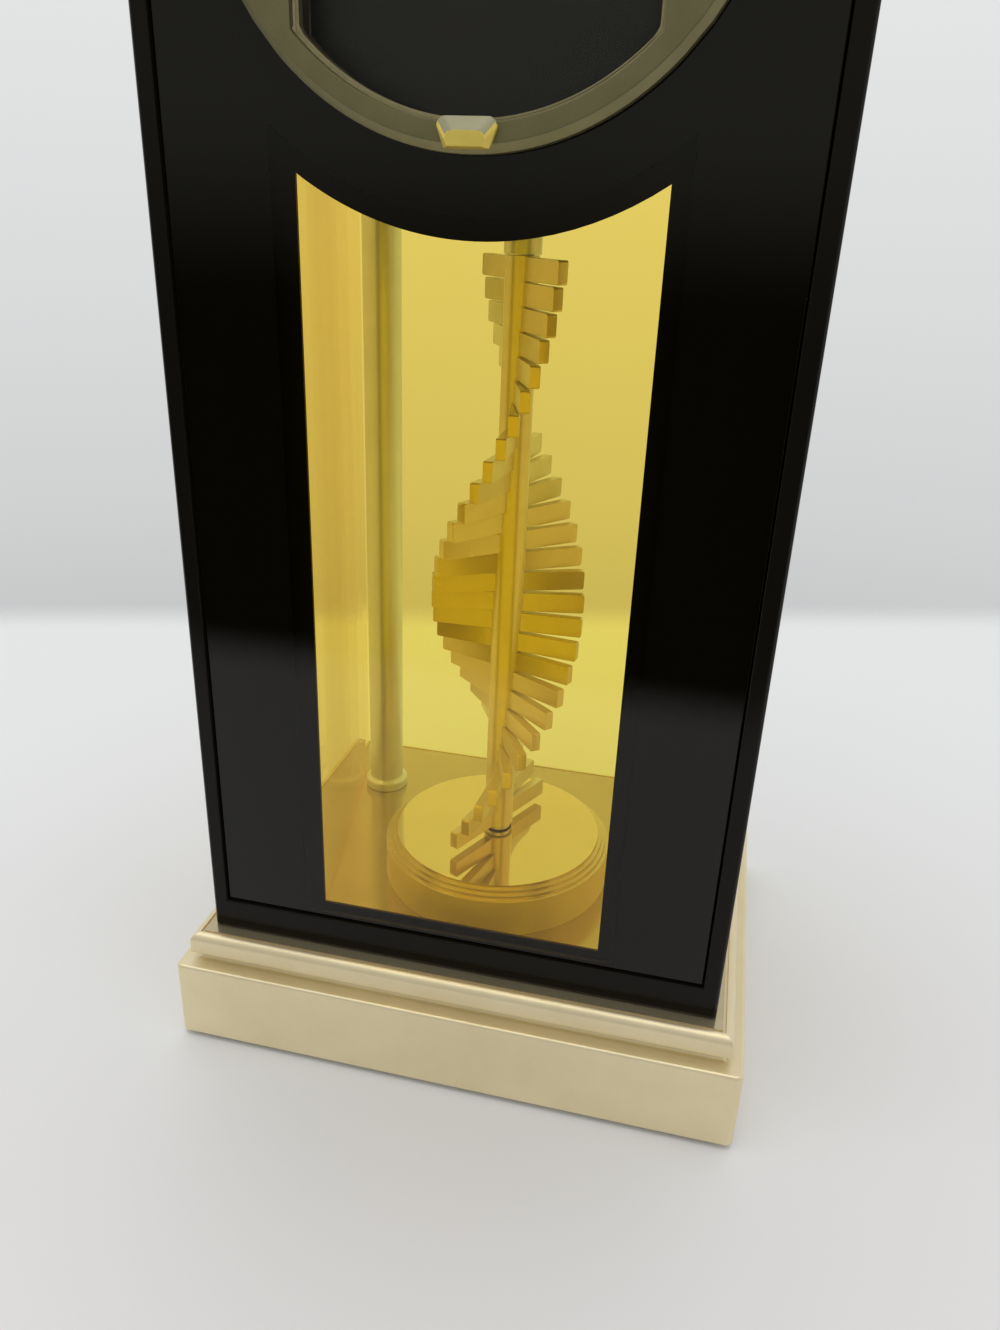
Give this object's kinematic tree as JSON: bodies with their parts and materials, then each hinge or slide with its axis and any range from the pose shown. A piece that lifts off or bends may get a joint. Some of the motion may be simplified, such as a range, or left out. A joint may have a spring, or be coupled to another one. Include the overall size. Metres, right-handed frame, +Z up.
{
  "type": "desk clock",
  "caption": "Tall gold and black desk clock: a round dial above a see-through chamber, where a helix of thin blades turns over a round pedestal.",
  "frame": {"origin": "middle of the footprint, on the table under the felt pad", "axes": "+Z up, -Y towards the person who reads the dial, +X to that person's right"},
  "size_m": [0.121, 0.102, 0.2936],
  "materials": {
    "gold": "satin champagne gold",
    "polished_gold": "polished champagne gold",
    "silver": "polished",
    "steel": "bare",
    "black_gloss": "glossy black",
    "black_paint": "black, satin",
    "black_plastic": "black, fine grain",
    "grey_plastic": "dark grey, fine grain",
    "felt": "black felt",
    "amber": "amber, polished",
    "bronze_pane": "light bronze, polished",
    "clear": "clear, polished",
    "cell_sleeve": "plain grey sleeve"
  },
  "bodies": {
    "case": {"base_pad": "felt", "base": "gold", "top_cap": "gold", "front_frame": "black_gloss", "front_panel": "amber", "front_mask": "black_paint", "dial_plate": "black_paint", "chapter_ring": "gold", "dial_crystal": "clear", "movement": "grey_plastic", "housing": "black_gloss", "rear_cover": "black_plastic", "battery_tray": "black_plastic", "pedestal": "polished_gold", "lower_bush": "steel", "drive_motor": "steel", "marker_12": "polished_gold", "marker_3": "polished_gold", "marker_6": "polished_gold", "marker_9": "polished_gold", "pillar_left": "silver", "side_pane_left": "bronze_pane", "pillar_right": "silver", "side_pane_right": "bronze_pane", "battery_1": "cell_sleeve", "battery_2": "cell_sleeve"},
    "helix": {"spindle": "silver", "helix_plate_01": "polished_gold", "helix_plate_02": "polished_gold", "helix_plate_03": "polished_gold", "helix_plate_04": "polished_gold", "helix_plate_05": "polished_gold", "helix_plate_06": "polished_gold", "helix_plate_07": "polished_gold", "helix_plate_08": "polished_gold", "helix_plate_09": "polished_gold", "helix_plate_10": "polished_gold", "helix_plate_11": "polished_gold", "helix_plate_12": "polished_gold", "helix_plate_13": "polished_gold", "helix_plate_14": "polished_gold", "helix_plate_15": "polished_gold", "helix_plate_16": "polished_gold", "helix_plate_17": "polished_gold", "helix_plate_18": "polished_gold", "helix_plate_19": "polished_gold", "helix_plate_20": "polished_gold", "helix_plate_21": "polished_gold", "helix_plate_22": "polished_gold", "helix_plate_23": "polished_gold", "helix_plate_24": "polished_gold", "helix_plate_25": "polished_gold", "helix_plate_26": "polished_gold", "helix_plate_27": "polished_gold", "helix_plate_28": "polished_gold"},
    "minute_hand": {"minute_hand": "gold", "hand_nut": "gold"},
    "hour_hand": {"hour_hand": "gold"},
    "set_knob": {"set_knob": "black_plastic"},
    "battery_cover": {"battery_cover": "black_plastic"}
  },
  "joints": [
    {"name": "helix_spin", "type": "hinge", "parent": "case", "child": "helix", "pos_m": [0, -0.0038, 0.1], "axis": [0, 0, 1], "continuous": true},
    {"name": "minute_hand_turn", "type": "hinge", "parent": "case", "child": "minute_hand", "pos_m": [0, -0.04, 0.2188], "axis": [0, 1, 0], "continuous": true},
    {"name": "hour_hand_turn", "type": "hinge", "parent": "case", "child": "hour_hand", "pos_m": [0, -0.04, 0.2188], "axis": [0, 1, 0], "continuous": true},
    {"name": "set_knob_turn", "type": "hinge", "parent": "case", "child": "set_knob", "pos_m": [0, 0.0173, 0.1973], "axis": [0, 1, 0], "continuous": true},
    {"name": "battery_cover_slide", "type": "slide", "parent": "case", "child": "battery_cover", "axis": [0, 0, -1], "range_m": [0, 0.03]}
  ],
  "couplings": [
    {"joint": "hour_hand_turn", "follows": "minute_hand_turn", "ratio": 0.083333},
    {"joint": "set_knob_turn", "follows": "minute_hand_turn", "ratio": -0.33333}
  ]
}
